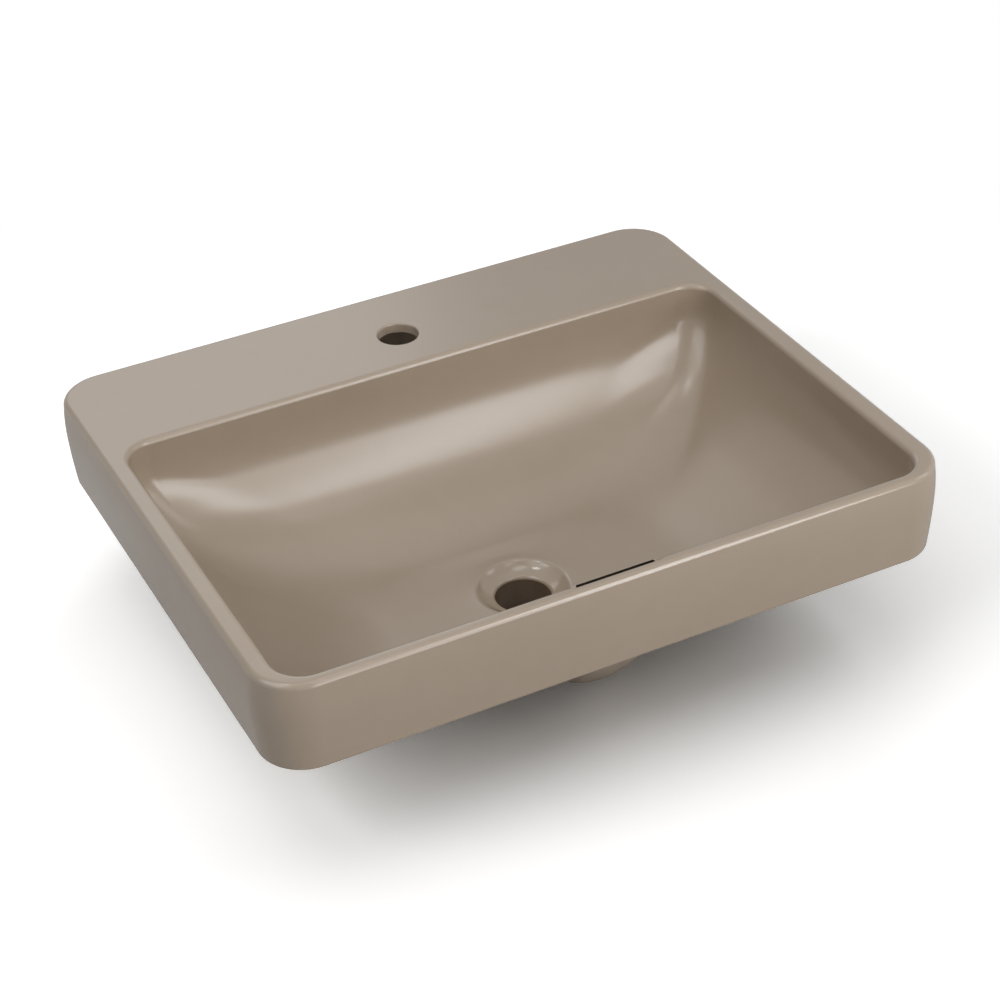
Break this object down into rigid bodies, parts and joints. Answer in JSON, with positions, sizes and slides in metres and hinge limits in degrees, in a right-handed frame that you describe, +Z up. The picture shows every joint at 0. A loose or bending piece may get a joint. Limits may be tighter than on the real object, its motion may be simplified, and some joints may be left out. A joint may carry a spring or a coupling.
{
  "type": "countertop basin",
  "caption": "Rectangular semi-inset ceramic basin with a tap deck, a square-edged skirt that stands on the worktop, a dished bowl, a front overflow slot and a round waste outlet.",
  "frame": {"origin": "middle of the skirt's foot, on the worktop that it stands on", "axes": "+X to the right as seen from the front, +Y to the back where the tap stands, +Z up"},
  "size_m": [0.575, 0.476, 0.168],
  "materials": {
    "taupe_glaze": "satin taupe glaze",
    "hidden_side_glaze": "thinner satin glaze on the hidden side",
    "bare_bisque": "bare fired clay under the deck"
  },
  "bodies": {
    "root": {"rim_and_tap_deck": "taupe_glaze", "apron": "taupe_glaze", "bowl": "taupe_glaze", "drain_outlet": "taupe_glaze", "overflow_cover": "hidden_side_glaze", "deck_rib_left": "bare_bisque", "deck_rib_right": "bare_bisque"}
  },
  "joints": []
}
